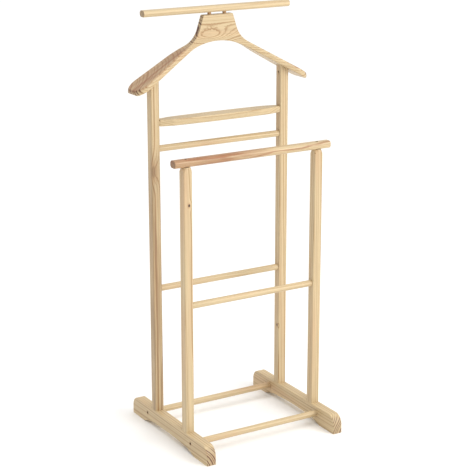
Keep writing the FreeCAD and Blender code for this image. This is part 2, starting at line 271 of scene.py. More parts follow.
def makePineColour():
    tree, given, out = newGroup(
        "pineColour",
        [("Rings", "f", 0.0), ("Fibres", "f", 0.5), ("Tone", "f", 0.5), ("Canals", "f", 0.0),
         ("Heart", "f", 0.0), ("End", "f", 0.0), ("Knot", "f", 0.0), ("Halo", "f", 0.0),
         ("Contrast", "f", 0.6), ("Blush", "f", 0.3),
         ("Pale", "c", pineLook["pale"]), ("Late", "c", pineLook["late"]),
         ("Rose", "c", pineLook["rose"]), ("Brown", "c", pineLook["brown"])],
        [("Color", "c"), ("Roughness", "f")])
    look = pineLook
    strength = calc(tree, "MULTIPLY_ADD", given["End"], look["endRings"], given["Contrast"])
    strength = times(tree, given["Rings"], strength)
    rose = times(tree, ramp(tree, given["Tone"], *look["roseTone"]), given["Blush"])
    colour = blendColours(tree, rose, given["Pale"], given["Rose"])
    colour = blendColours(tree, calc(tree, "MINIMUM", strength, 1.0), colour, given["Late"])
    brownShare = calc(tree, "MULTIPLY_ADD", given["Rings"], look["brownRings"], look["brownBase"])
    brownShare = times(tree, given["Heart"], brownShare)
    brownShare = calc(tree, "MINIMUM", brownShare, 1.0)
    colour = blendColours(tree, brownShare, colour, given["Brown"])
    streak = ramp(tree, given["Fibres"], *look["fibreSpan"], *look["streak"], smooth=False)
    streak = calc(tree, "SUBTRACT", streak, times(tree, given["Canals"], look["canalShade"]))
    grey = addNode(tree, "ShaderNodeCombineColor")
    for socket in grey.inputs:
        plug(tree, socket, streak)
    colour = blendColours(tree, 1.0, colour, grey.outputs[0], "MULTIPLY")
    haloShare = times(tree, given["Halo"], look["haloShare"])
    colour = blendColours(tree, haloShare, colour, look["halo"])
    colour = blendColours(tree, given["Knot"], colour, look["knot"])
    thirst = calc(tree, "MULTIPLY_ADD", given["Rings"], look["endThirst"], look["endBase"])
    thirst = times(tree, given["End"], thirst)
    colour = blendColours(tree, calc(tree, "MINIMUM", thirst, 1.0), colour, look["end"])
    plug(tree, out["Color"], colour)
    rough = ramp(tree, given["Fibres"], *look["fibreSpan"], *look["gloss"], smooth=False)
    rough = calc(tree, "MULTIPLY_ADD", given["End"], look["endRoughness"], rough)
    plug(tree, out["Roughness"], rough)
    return tree


# Sanded and handled arrises: the lacquer is thin there and the wood a little paler, and the pale edge colour
# also paints a highlight along the edges.
def makeEdgeWearAndHighlight():
    tree, given, out = newGroup(
        "edgeWearAndHighlight",
        [("Color", "c", None), ("Vector", "v", None), ("Width", "f", 0.0012), ("Strength", "f", 0.35)],
        [("Color", "c"), ("Edge", "f")])
    softened = addNode(tree, "ShaderNodeBevel", samples=4)
    plug(tree, softened.inputs["Radius"], given["Width"])
    flat = addNode(tree, "ShaderNodeNewGeometry")
    same = vectorCalc(tree, "DOT_PRODUCT", softened.outputs["Normal"], flat.outputs["Normal"])
    edge = ramp(tree, same, *pineLook["arrisFrom"])
    patchy = vectorCalc(tree, "SCALE", given["Vector"], pineLook["arrisPatches"])
    patchy = noise(tree, patchy, 1.0, 3.0, 0.6).outputs[0]
    edge = times(tree, edge, ramp(tree, patchy, *pineLook["arrisSpan"]))
    share = times(tree, edge, given["Strength"])
    plug(tree, out["Color"], blendColours(tree, share, given["Color"], pineLook["edgeWearAndHighlight"]))
    plug(tree, out["Edge"], edge)
    return tree


growthRings = makeGrowthRings()
knotGroup = makeKnot()
pineColour = makePineColour()
edgeWearAndHighlight = makeEdgeWearAndHighlight()

# turns that lay the group's Z axis along a board's own length
alongX = (0.0, 90.0, 0.0)
alongY = (90.0, 0.0, 0.0)
alongZ = (0.0, 0.0, 0.0)
grainAxes = {alongX: (1.0, 0.0, 0.0), alongY: (0.0, 1.0, 0.0), alongZ: (0.0, 0.0, 1.0)}


lacquer = {
    "relief": 0.25,
    "reliefDepth": 0.12,  # millimetres
    "coat": 0.22,
    "coatRoughness": 0.28,
    "specular": 0.4,
    "wornRoughness": 0.08,
    "endFacing": (0.45, 0.9),  # how squarely a face has to cut the grain
}


def pineMaterial(name, grain, pith, spacing, wander, seed, contrast, blush, late=0.4, tilt=(0.0, 0.0, 0.0),
                 tones=None, knots=(), heart=None, endDark=1.0):
    # lengths in millimetres, tilt in degrees off the board's own length
    material = bpy.data.materials.new(name)
    material.use_nodes = True
    tree = material.node_tree
    shader = tree.nodes["Principled BSDF"]
    where = addNode(tree, "ShaderNodeTexCoord")
    objectPlace = where.outputs["Object"]
    centred = vectorCalc(tree, "SUBTRACT", objectPlace, tuple(mm(v) for v in pith))
    turn = addNode(tree, "ShaderNodeMapping", vector_type="TEXTURE")
    turn.inputs["Rotation"].default_value = [math.radians(g + t) for g, t in zip(grain, tilt)]
    plug(tree, turn.inputs["Vector"], centred)
    lift, mark, halo = 0.0, 0.0, 0.0
    # knots, and the painted shade round the foot screw bores, which uses the same marks
    for knot in knots:
        made = place(tree, knotGroup, Vector=objectPlace, Centre=tuple(mm(v) for v in knot["at"]),
                     Stretch=knot["stretch"], Size=mm(knot["size"]), Push=mm(knot["push"]))
        lift = calc(tree, "ADD", made["Lift"], lift)
        mark = calc(tree, "MAXIMUM", times(tree, made["Mark"], knot.get("dark", 1.0)), mark)
        halo = calc(tree, "MAXIMUM", times(tree, made["Halo"], knot.get("halo", 1.0)), halo)
    figure = place(tree, growthRings, Vector=turn.outputs[0], Spacing=mm(spacing), Wander=mm(wander),
                   Late_wood=late, Knot_lift=lift, Seed=seed)
    facing = vectorCalc(tree, "DOT_PRODUCT", where.outputs["Normal"], grainAxes[grain])
    facing = calc(tree, "ABSOLUTE", facing)
    end = times(tree, ramp(tree, facing, *lacquer["endFacing"]), endDark)
    heartShare = heart(tree, objectPlace) if heart else 0.0
    colour = place(tree, pineColour, Rings=figure["Rings"], Fibres=figure["Fibres"], Tone=figure["Tone"],
                   Canals=figure["Canals"], Heart=heartShare, End=end, Knot=mark, Halo=halo,
                   Contrast=contrast, Blush=blush, **(tones or {}))
    # edges lightened: wear plus a painted highlight
    paintedLightTone = place(tree, edgeWearAndHighlight, Color=colour["Color"], Vector=objectPlace)
    plug(tree, shader.inputs["Base Color"], paintedLightTone["Color"])
    rough = calc(tree, "MULTIPLY_ADD", paintedLightTone["Edge"], lacquer["wornRoughness"], colour["Roughness"])
    plug(tree, shader.inputs["Roughness"], rough)
    relief = addNode(tree, "ShaderNodeBump")
    relief.inputs["Strength"].default_value = lacquer["relief"]
    relief.inputs["Distance"].default_value = mm(lacquer["reliefDepth"])
    plug(tree, relief.inputs["Height"], figure["Height"])
    plug(tree, shader.inputs["Normal"], relief.outputs[0])
    shader.inputs["Coat Weight"].default_value = lacquer["coat"]
    shader.inputs["Coat Roughness"].default_value = lacquer["coatRoughness"]
    shader.inputs["Specular IOR Level"].default_value = lacquer["specular"]
    return material


def paint(node, material):
    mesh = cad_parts[node].data
    mesh.materials.clear()
    mesh.materials.append(material)
    for face in mesh.polygons:
        face.material_index = 0


print("node groups ready")


# Camera, floor and light.
studio = {
    "cameraAt": (-1.5589, -2.6021, 1.3209),
    "turn": 30.896,  # degrees to the right of straight ahead
    "dip": 16.254,  # degrees below level
    "lens": 112.1,  # millimetres
    "sensor": 36.0,
    "clipEnd": 200.0,
    "floorSize": 40.0,
    "floorRoughness": 0.9,
    "floorColour": (0.93, 0.925, 0.915, 1.0),
    "skyColour": (1.0, 0.995, 0.985, 1.0),
    "skyStrength": 0.72,
    "windowAt": (1.6, -2.6, 1.7),
    "windowAim": (0.0, 0.0, 0.45),
    "windowSize": 1.8,
    "windowPower": 60.0,
    "windowColour": (1.0, 0.985, 0.95),
    "overheadAt": (0.0, 0.0, 4.0),
    "overheadStrength": 1.35,
    "overheadAngle": 70,  # degrees: how broad the diffuser looks
}


def setUpStudio():
    camera = addObject("camera", bpy.data.cameras.new("camera"))
    camera.location = studio["cameraAt"]
    camera.rotation_euler = (math.radians(90 - studio["dip"]), 0.0, math.radians(-studio["turn"]))
    camera.data.sensor_width = studio["sensor"]
    camera.data.lens = studio["lens"]
    camera.data.clip_end = studio["clipEnd"]
    bpy.context.scene.camera = camera

    half = studio["floorSize"] / 2
    mesh = bpy.data.meshes.new("floor")
    corners = [(-half, -half, 0), (half, -half, 0), (half, half, 0), (-half, half, 0)]
    mesh.from_pydata(corners, [], [(0, 1, 2, 3)])
    floor = addObject("floor", mesh)
    material = bpy.data.materials.new("studioFloor")
    material.use_nodes = True
    shader = material.node_tree.nodes["Principled BSDF"]
    shader.inputs["Base Color"].default_value = studio["floorColour"]
    shader.inputs["Roughness"].default_value = studio["floorRoughness"]
    mesh.materials.append(material)

    world = bpy.data.worlds.new("studioWorld")
    world.use_nodes = True
    sky = world.node_tree.nodes["Background"]
    sky.inputs["Color"].default_value = studio["skyColour"]
    sky.inputs["Strength"].default_value = studio["skyStrength"]
    bpy.context.scene.world = world
    bpy.context.scene.view_settings.view_transform = "Standard"

    # a broad window to the front right
    window = bpy.data.lights.new("window", "AREA")
    window.shape = "SQUARE"
    window.size = studio["windowSize"]
    window.energy = studio["windowPower"]
    window.color = studio["windowColour"]
    holder = bpy.data.objects.new("window", window)
    holder.location = studio["windowAt"]
    aim = Vector(studio["windowAim"]) - Vector(studio["windowAt"])
    holder.rotation_euler = aim.to_track_quat("-Z", "Y").to_euler()
    bpy.context.scene.collection.objects.link(holder)

    # daylight straight from above, as through a large diffuser: it keeps the floor white
    overhead = bpy.data.lights.new("overhead", "SUN")
    overhead.energy = studio["overheadStrength"]
    overhead.angle = math.radians(studio["overheadAngle"])
    holder = bpy.data.objects.new("overhead", overhead)
    holder.location = studio["overheadAt"]
    bpy.context.scene.collection.objects.link(holder)


setUpStudio()
print("studio ready")


# Jacket hanger: one flat-sawn board, shaped thin at the neck and round along the arms.
hangerSizes = {
    "neckTop": 904.0,
    "neckHalf": 37.0,
    "neckCorner": 2.0,  # rounding of the neck's two top corners, seen from the front
    "neckLean": 15.5,  # degrees
    "neckSweep": 60.0,  # radius from the neck's side into the arm
    "armAngle": 29.6,  # degrees
    "armThickness": 12.0,
    "archCrown": 848.0,
    "archRadius": 140.0,
    "tipX": 212.5,
    "neckFront": 71.0,  # seen from above: distances behind the middle of the stand
    "neckBack": 85.0,
    "flareStart": 44.0,
    "flareEnd": 70.0,
    "flare": 15.5,  # degrees between the front edge of an arm and the neck's face
    "backFull": 112.0,  # from here on the back edge is straight
    "armBack": 100.0,
    "frontCorner": 25.0,  # radii of the shoulder's end
    "backCorner": 28.0,
    "noseSlack": 0.6,
    "topRound": 4.6,  # rounding over the arms' top
    "bottomRound": 2.6,
    "neckRound": 1.4,
    "roundFrom": 40.0,  # the neck's rounding blends into the arm's over this stretch
    "roundOver": 50.0,
    "noseReach": 26.0,  # the underside gets rounder over this last stretch
    "noseRound": 1.5,
    "noseThinnest": 0.02,
    "archSlices": 64,
    "armSlices": 30,
    "noseSlices": 16,
}


def arcPoints(centre, radius, start, finish, steps):
    # angles in degrees from straight up, clockwise
    turns = [math.radians(start + (finish - start) * i / steps) for i in range(steps + 1)]
    return [Vector((centre[0] + radius * math.sin(t), centre[1] + radius * math.cos(t))) for t in turns]


def walk(points, count):
    # the same line again, in equal steps
    lengths = [0.0]
    for a, b in zip(points, points[1:]):
        lengths.append(lengths[-1] + (b - a).length)
    found, at = [], 0
    for i in range(count + 1):
        goal = lengths[-1] * i / count
        while at < len(points) - 2 and lengths[at + 1] < goal:
            at += 1
        share = (goal - lengths[at]) / (lengths[at + 1] - lengths[at])
        found.append(points[at].lerp(points[at + 1], min(max(share, 0.0), 1.0)))
    return found


def hangerStations(s):
    # pairs of a lower and an upper point of the right half, from the middle plane to the nose
    slope, lean = math.radians(s["armAngle"]), math.radians(s["neckLean"])
    down = Vector((math.cos(slope), -math.sin(slope)))
    outward = Vector((math.sin(slope), math.cos(slope)))
    archCentre = Vector((0.0, s["archCrown"] - s["archRadius"]))
    archEnd = archCentre + outward * s["archRadius"]
    noseRadius = s["armThickness"] / 2
    reach = (s["tipX"] - noseRadius - archEnd.x - outward.x * noseRadius) / down.x
    noseCentre = archEnd + down * reach + outward * noseRadius

    neckDown = Vector((math.sin(lean), -math.cos(lean)))
    neckCorner = Vector((s["neckHalf"], s["neckTop"]))
    armTop = archEnd + outward * s["armThickness"]
    meet = neckCorner + neckDown * ((armTop - neckCorner).dot(outward) / neckDown.dot(outward))
    turn = math.radians(90) - lean - slope
    cut = s["neckSweep"] * math.tan(turn / 2)
    sweepStart = meet - neckDown * cut
    sweepCentre = sweepStart + Vector((math.cos(lean), math.sin(lean))) * s["neckSweep"]

    # the leaning side leaves the corner's arc 1.3 radii in, and the flat top ends a little before
    corner = s["neckCorner"]
    upper = [Vector((0.0, s["neckTop"])), Vector((s["neckHalf"] - 1.6 * corner, s["neckTop"]))]
    cornerCentre = (s["neckHalf"] - 1.3 * corner, s["neckTop"] - corner)
    upper += arcPoints(cornerCentre, corner, 0, 90 - s["neckLean"], 6)
    upper.append(sweepStart)
    upper += arcPoints(sweepCentre, s["neckSweep"], 270 - s["neckLean"], 180 + s["armAngle"], 16)
    # the arm is straight from the end of the arch, a little beyond the end of the sweep
    upper.append(armTop)
    lower = arcPoints(archCentre, s["archRadius"], 0, s["armAngle"], 24)
    stations = list(zip(walk(lower, s["archSlices"]), walk(upper, s["archSlices"])))
    straight = (noseCentre - outward * noseRadius - lower[-1]).length
    for i in range(1, s["armSlices"] + 1):
        low = lower[-1] + down * straight * i / s["armSlices"]
        stations.append((low, low + outward * s["armThickness"]))
    for i in range(1, s["noseSlices"] + 1):
        # the nose: slices get thinner towards the tip
        swing = math.radians(90 * i / s["noseSlices"])
        middle = noseCentre + down * noseRadius * math.sin(swing)
        half = max(noseRadius * math.cos(swing), s["noseThinnest"])
        stations.append((middle - outward * half, middle + outward * half))
    return stations


def boardDepth(s, x):
    # front and back edge of the board at a distance x from the middle
    front, back = s["neckFront"], s["neckBack"]
    if x <= s["flareStart"]:
        return front, back
    flare = math.radians(s["flare"])
    bend = (s["flareEnd"] - s["flareStart"]) / math.sin(flare)
    straightFrom = front - bend * (1 - math.cos(flare))
    if x < s["flareEnd"]:
        front -= bend - math.sqrt(bend ** 2 - (x - s["flareStart"]) ** 2)
    else:
        front = straightFrom - (x - s["flareEnd"]) * math.tan(flare)
    halfRun, halfRise = (s["backFull"] - s["flareStart"]) / 2, (s["armBack"] - s["neckBack"]) / 2
    swell = (halfRun ** 2 + halfRise ** 2) / (2 * halfRise)
    if x < s["flareStart"] + halfRun:
        back += swell - math.sqrt(swell ** 2 - (x - s["flareStart"]) ** 2)
    elif x < s["backFull"]:
        back = s["armBack"] - swell + math.sqrt(swell ** 2 - (s["backFull"] - x) ** 2)
    else:
        back = s["armBack"]
    # the two rounded corners at the end
    end = s["tipX"] + s["noseSlack"]
    centreX, radius = end - s["frontCorner"], s["frontCorner"]
    centreY = straightFrom - (centreX - s["flareEnd"]) * math.tan(flare) + radius / math.cos(flare)
    if x > centreX - radius * math.sin(flare):
        front = centreY - math.sqrt(max(radius ** 2 - (x - centreX) ** 2, 0.0))
    radius = s["backCorner"]
    if x > end - radius:
        back = s["armBack"] - radius + math.sqrt(max(radius ** 2 - (x - end + radius) ** 2, 0.0))
    return front, back


loopSizes = {
    "cornerSteps": 8,
    "depthSteps": 6,
    "widthSteps": 10,
    "besideCorner": 0.03,  # share of a flat
    "largestRound": 0.49,  # share of the loop's width or depth
}


def loopShares(width, depth, rounds):
    # a rounded rectangle as shares of its width (0 low, 1 high) and depth (0 front, 1 back)
    corners = [(0, 0, 180), (1, 0, 270), (1, 1, 0), (0, 1, 90)]
    shares = []
    for (high, rear, start), radius in zip(corners, rounds):
        radius = min(radius, loopSizes["largestRound"] * width, loopSizes["largestRound"] * depth)
        middle = (width - radius if high else radius, depth - radius if rear else radius)
        for i in range(loopSizes["cornerSteps"] + 1):
            turn = math.radians(start + 90 * i / loopSizes["cornerSteps"])
            across, along = middle[0] + radius * math.cos(turn), middle[1] + radius * math.sin(turn)
            shares.append((across / width, along / depth))
        after = corners[(corners.index((high, rear, start)) + 1) % 4]
        shares += [None] * loopSizes["depthSteps" if high == after[0] else "widthSteps"]
    # fill the flats between the corners, with a close line beside each corner
    count = len(shares)
    for i in range(count):
        if shares[i] is None and shares[i - 1] is not None:
            run = 1
            while shares[(i + run) % count] is None:
                run += 1
            first, last = shares[i - 1], shares[(i + run) % count]
            near = loopSizes["besideCorner"]
            for j, share in enumerate((near, *[k / (run - 1) for k in range(1, run - 1)], 1 - near)):
                shares[i + j] = tuple(a + (b - a) * share for a, b in zip(first, last))
    return shares


def makeHanger(s):
    half = hangerStations(s)
    stations = [(low, high, -1) for low, high in reversed(half[1:])] + [(low, high, 1) for low, high in half]
    mesh = bmesh.new()
    loops = []
    slope = math.radians(s["armAngle"])
    for low, high, side in stations:
        middle = (low + high) / 2
        toTip = (s["tipX"] - middle.x) / math.cos(slope)
        arm = min(max((middle.x - s["roundFrom"]) / s["roundOver"], 0.0), 1.0)
        top = s["neckRound"] + (s["topRound"] - s["neckRound"]) * arm
        bottom = s["neckRound"] + (s["bottomRound"] - s["neckRound"]) * arm
        nose = min(max(1 - toTip / s["noseReach"], 0.0), 1.0)
        bottom += (s["topRound"] + s["noseRound"] - bottom) * nose
        front, back = boardDepth(s, middle.x)
        ring = []
        for up, rear in loopShares((high - low).length, back - front, (bottom, top, top, bottom)):
            point = low.lerp(high, up)
            front, back = boardDepth(s, point.x)
            ring.append(mesh.verts.new((side * mm(point.x), mm(front + (back - front) * rear), mm(point.y))))
        loops.append(ring)
    count = len(loops[0])
    for first, second in zip(loops, loops[1:]):
        for i in range(count):
            mesh.faces.new((first[i], first[(i + 1) % count], second[(i + 1) % count], second[i]))
    mesh.faces.new(list(reversed(loops[0])))
    mesh.faces.new(loops[-1])
    bmesh.ops.recalc_face_normals(mesh, faces=mesh.faces)
    data = bpy.data.meshes.new("hangerBoard")
    mesh.to_mesh(data)
    mesh.free()
    for face in data.polygons:
        face.use_smooth = True
    hanger = addObject("hangerBoard", data)
    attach(hanger, "root")
    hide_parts("jacket_hanger")
    return hanger


hanger = makeHanger(hangerSizes)
print("hanger shaped:", len(hanger.data.polygons), "faces")


# Pieces that repeat, made with geometry nodes.
def newTree(name, inputs):
    tree = bpy.data.node_groups.new(name, "GeometryNodeTree")
    tree.interface.new_socket("Geometry", in_out="INPUT", socket_type="NodeSocketGeometry")
    kinds = {"f": "NodeSocketFloat", "i": "NodeSocketInt", "m": "NodeSocketMaterial"}
    for label, kind, value in inputs:
        socket = tree.interface.new_socket(label, in_out="INPUT", socket_type=kinds[kind])
        if value is not None:
            socket.default_value = value
    tree.interface.new_socket("Geometry", in_out="OUTPUT", socket_type="NodeSocketGeometry")
    return tree, tree.nodes.new("NodeGroupInput").outputs, tree.nodes.new("NodeGroupOutput").inputs


def readAttribute(tree, name, kind):
    node = addNode(tree, "GeometryNodeInputNamedAttribute", data_type=kind)
    node.inputs["Name"].default_value = name
    return next(o for o in node.outputs if o.enabled and o.name == "Attribute")


def finishTree(tree, geometry, material, out):
    real = addNode(tree, "GeometryNodeRealizeInstances")
    plug(tree, real.inputs[0], geometry)
    smooth = addNode(tree, "GeometryNodeSetShadeSmooth")
    plug(tree, smooth.inputs["Geometry"], real.outputs[0])
    coat = addNode(tree, "GeometryNodeSetMaterial")
    plug(tree, coat.inputs["Geometry"], smooth.outputs[0])
    plug(tree, coat.inputs["Material"], material)
    plug(tree, out[0], coat.outputs[0])


def scatter(tree, points, shape):
    # one shape on each point, turned to the point's own aim and stretched by its own reach
    aim = addNode(tree, "FunctionNodeAlignRotationToVector", axis="Z")
    plug(tree, aim.inputs["Vector"], readAttribute(tree, "aim", "FLOAT_VECTOR"))
    stretch = addNode(tree, "ShaderNodeCombineXYZ")
    stretch.inputs["X"].default_value = 1.0
    stretch.inputs["Y"].default_value = 1.0
    plug(tree, stretch.inputs["Z"], readAttribute(tree, "reach", "FLOAT"))
    copies = addNode(tree, "GeometryNodeInstanceOnPoints")
    plug(tree, copies.inputs["Points"], points)
    plug(tree, copies.inputs["Instance"], shape)
    plug(tree, copies.inputs["Rotation"], aim.outputs[0])
    plug(tree, copies.inputs["Scale"], stretch.outputs[0])
    return copies.outputs[0]


def barrel(tree, sides, rings, radius, length):
    # a closed round bar from 0 to its length along Z
    node = addNode(tree, "GeometryNodeMeshCylinder", fill_type="TRIANGLE_FAN")
    for label, value in zip(("Vertices", "Side Segments", "Radius", "Depth"), (sides, rings, radius, length)):
        plug(tree, node.inputs[label], value)
    shift = addNode(tree, "ShaderNodeCombineXYZ")
    plug(tree, shift.inputs["Z"], times(tree, length, 0.5))
    moved = addNode(tree, "GeometryNodeTransform")
    plug(tree, moved.inputs["Geometry"], node.outputs["Mesh"])
    plug(tree, moved.inputs["Translation"], shift.outputs[0])
    return moved.outputs[0]


def turnOnLathe(tree, shape, factor):
    # scales every point's distance from the Z axis
    spot = addNode(tree, "GeometryNodeInputPosition").outputs[0]
    stretch = addNode(tree, "ShaderNodeCombineXYZ")
    plug(tree, stretch.inputs["X"], factor)
    plug(tree, stretch.inputs["Y"], factor)
    stretch.inputs["Z"].default_value = 1.0
    node = addNode(tree, "GeometryNodeSetPosition")
    plug(tree, node.inputs["Geometry"], shape)
    plug(tree, node.inputs["Position"], vectorCalc(tree, "MULTIPLY", spot, stretch.outputs[0]))
    return node.outputs[0]


def heightAndAngle(tree):
    parts = addNode(tree, "ShaderNodeSeparateXYZ")
    plug(tree, parts.inputs[0], addNode(tree, "GeometryNodeInputPosition").outputs[0])
    angle = calc(tree, "ARCTAN2", parts.outputs["Y"], parts.outputs["X"])
    return parts.outputs["Z"], angle


def makeRodTree():
    tree, given, out = newTree("turnedRods", [
        ("Radius", "f", 0.007), ("Sides", "i", 40), ("Material", "m", None)])
    rod = barrel(tree, given["Sides"], 12, given["Radius"], 1.0)
    finishTree(tree, scatter(tree, given["Geometry"], rod), given["Material"], out)
    return tree


def makeDowelTree():
    tree, given, out = newTree("beechDowels", [
        ("Radius", "f", 0.003), ("Length", "f", 0.028), ("Chamfer", "f", 0.001), ("Flutes", "i", 12),
        ("Flute depth", "f", 0.0), ("Material", "m", None)])
    dowel = barrel(tree, 72, 42, given["Radius"], given["Length"])
    height, angle = heightAndAngle(tree)
    fromEnd = calc(tree, "MINIMUM", height, calc(tree, "SUBTRACT", given["Length"], height))
    chamfer = calc(tree, "SUBTRACT", given["Chamfer"], calc(tree, "MINIMUM", fromEnd, given["Chamfer"]))
    flute = calc(tree, "COSINE", times(tree, angle, given["Flutes"]))
    flute = times(tree, ramp(tree, flute, 0.2, 1.0), given["Flute depth"])
    lost = calc(tree, "DIVIDE", calc(tree, "ADD", chamfer, flute), given["Radius"])
    dowel = turnOnLathe(tree, dowel, calc(tree, "SUBTRACT", 1.0, lost))
    finishTree(tree, scatter(tree, given["Geometry"], dowel), given["Material"], out)
    return tree


def makeScrewTree():
    tree, given, out = newTree("woodScrews", [
        ("Shank radius", "f", 0.002), ("Head radius", "f", 0.004), ("Head height", "f", 0.003),
        ("Rim", "f", 0.0004), ("Length", "f", 0.04), ("Point", "f", 0.004), ("Pitch", "f", 0.0018),
        ("Thread depth", "f", 0.0004), ("Plain share", "f", 0.36), ("Recess reach", "f", 0.0018),
        ("Recess width", "f", 0.0007), ("Recess depth", "f", 0.0014), ("Material", "m", None)])
    blank = barrel(tree, 20, 110, 1.0, given["Length"])
    height, angle = heightAndAngle(tree)
    radii = (given["Head radius"], given["Shank radius"])
    cone = ramp(tree, height, given["Rim"], given["Head height"], *radii, smooth=False)
    pointStart = calc(tree, "SUBTRACT", given["Length"], given["Point"])
    tip = ramp(tree, height, pointStart, given["Length"], 1.0, 0.02, smooth=False)
    turns = calc(tree, "DIVIDE", height, given["Pitch"])
    turns = calc(tree, "SUBTRACT", turns, calc(tree, "DIVIDE", angle, math.tau))
    ridge = calc(tree, "PINGPONG", turns, 0.5)
    threadStart = times(tree, given["Length"], given["Plain share"])
    groove = times(tree, ramp(tree, ridge, 0.1, 0.4, 0.0, 1.0), given["Thread depth"])
    threadFull = calc(tree, "ADD", threadStart, mm(2))
    groove = times(tree, groove, ramp(tree, height, threadStart, threadFull))
    radius = times(tree, calc(tree, "SUBTRACT", cone, groove), tip)
    body = turnOnLathe(tree, blank, radius)
    # cross recess in the head
    blades = addNode(tree, "GeometryNodeJoinGeometry")
    for reach, width in (("Recess reach", "Recess width"), ("Recess width", "Recess reach")):
        size = addNode(tree, "ShaderNodeCombineXYZ")
        plug(tree, size.inputs["X"], times(tree, given[reach], 2.0))
        plug(tree, size.inputs["Y"], times(tree, given[width], 2.0))
        plug(tree, size.inputs["Z"], times(tree, given["Recess depth"], 2.0))
        blade = addNode(tree, "GeometryNodeMeshCube")
        plug(tree, blade.inputs["Size"], size.outputs[0])
        plug(tree, blades.inputs[0], blade.outputs["Mesh"])
    cut = addNode(tree, "GeometryNodeMeshBoolean", operation="DIFFERENCE", solver="EXACT")
    plug(tree, cut.inputs["Mesh 1"], body)
    plug(tree, cut.inputs["Mesh 2"], blades.outputs[0])
    cut.inputs["Self Intersection"].default_value = True
    finishTree(tree, scatter(tree, given["Geometry"], cut.outputs["Mesh"]), given["Material"], out)
    return tree


sharpFrom = 38      # degrees between faces


def grow(name, tree, spots, values, nodes):
    # spots: (place, aim, reach) of each copy; the result is one plain mesh
    data = bpy.data.meshes.new(name)
    data.from_pydata([spot[0] for spot in spots], [], [])
    data.attributes.new("aim", "FLOAT_VECTOR", "POINT")
    data.attributes.new("reach", "FLOAT", "POINT")
    for i, (_, aim, reach) in enumerate(spots):
        data.attributes["aim"].data[i].vector = aim
        data.attributes["reach"].data[i].value = reach
    seedling = addObject(name + "Points", data)
    modifier = seedling.modifiers.new(tree.name, "NODES")
    modifier.node_group = tree
    for socket in tree.interface.items_tree:
        if socket.in_out == "INPUT" and socket.name in values:
            modifier[socket.identifier] = values[socket.name]
    ready = seedling.evaluated_get(bpy.context.evaluated_depsgraph_get())
    mesh = bpy.data.meshes.new_from_object(ready)
    seedling.modifiers.remove(modifier)
    bpy.data.objects.remove(seedling)
    for attribute in [a for a in mesh.attributes if a.name in ("aim", "reach")]:
        mesh.attributes.remove(attribute)
    piece = addObject(name, mesh)
    mesh.set_sharp_from_angle(angle=math.radians(sharpFrom))
    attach(piece, "root")
    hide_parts(*nodes)
    print(name + ":", len(spots), "pieces,", len(mesh.polygons), "faces")


def middleOf(node):
    low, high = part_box(node)
    return (low + high) / 2, (high - low) / 2


# The rods, dowels and screws.
def makeRods():
    names = ["upper_rear_rod", "mid_rear_rod", "mid_front_rod", "bottom_rear_rod", "bottom_front_rod"]
    spots = []
    for name in names:
        middle, half = middleOf(name)
        spots.append(((middle.x - half.x, middle.y, middle.z), (1.0, 0.0, 0.0), 2 * half.x))
    sizes = {"Radius": half.z, "Sides": 40, "Material": rodPine}
    grow("turnedRods", makeRodTree(), spots, sizes, names)


def makeDowels():
    tree = makeDowelTree()
    neckNames = ["neck_dowel_left", "neck_dowel_right"]
    postNames = ["post_dowel_" + end + "_" + side for end in ("rear", "front") for side in ("left", "right")]
    kinds = [
        ("neckDowels", neckNames, {"Chamfer": mm(0.6), "Flutes": 0, "Flute depth": 0.0}),
        ("postDowels", postNames, {"Chamfer": mm(1.0), "Flutes": 12, "Flute depth": mm(0.3)}),
    ]
    for name, nodes, sizes in kinds:
        spots = []
        for node in nodes:
            middle, half = middleOf(node)
            spots.append(((middle.x, middle.y, middle.z - half.z), (0.0, 0.0, 1.0), 1.0))
        sizes = dict(sizes, Radius=half.x, Length=2 * half.z, Material=beech)
        grow(name, tree, spots, sizes, nodes)


screwSizes = {
    # diameters and lengths in millimetres
    "foot_screw": {"shank": 3.5, "head": 6.0, "coneHeight": 2.4, "length": 36.0, "pitch": 1.8},
    "post_screw": {"shank": 4.5, "head": 8.4, "coneHeight": 3.2, "length": 48.0, "pitch": 2.2},
    "bar_screw": {"shank": 3.5, "head": 6.6, "coneHeight": 2.6, "length": 40.0, "pitch": 1.8},
    "hanger_screw": {"shank": 3.2, "head": 5.8, "coneHeight": 2.2, "length": 20.0, "pitch": 1.6},
    "rim": 0.4,
    "point": 4.0,
    "threadDepth": 0.45,
    "recessReach": 0.29,  # shares of the head
    "recessWidth": 0.07,
    "recessDepth": 0.6,  # share of the cone's height
}
screwEnds = {"foot_screw": ("rear", "front"), "post_screw": ("rear", "front"), "bar_screw": ("",),
             "hanger_screw": ("",)}


def screwSpot(kind, node, mirror, length):
    # where the head's face is, and the way the screw goes in
    low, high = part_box(node)
    middle = (low + high) / 2
    if kind == "foot_screw":
        return (high.x if mirror > 0 else low.x, middle.y, middle.z), (-mirror, 0.0, 0.0)
    if kind == "post_screw":
        return (middle.x, middle.y, low.z), (0.0, 0.0, 1.0)
    if kind == "bar_screw":
        return (middle.x, middle.y, high.z), (0.0, 0.0, -1.0)
    slope = math.radians(hangerSizes["armAngle"])
    aim = Vector((mirror * math.sin(slope), 0.0, math.cos(slope)))
    tip = Vector((high.x if mirror > 0 else low.x, middle.y, high.z))
    return tuple(tip - aim * length), tuple(aim)


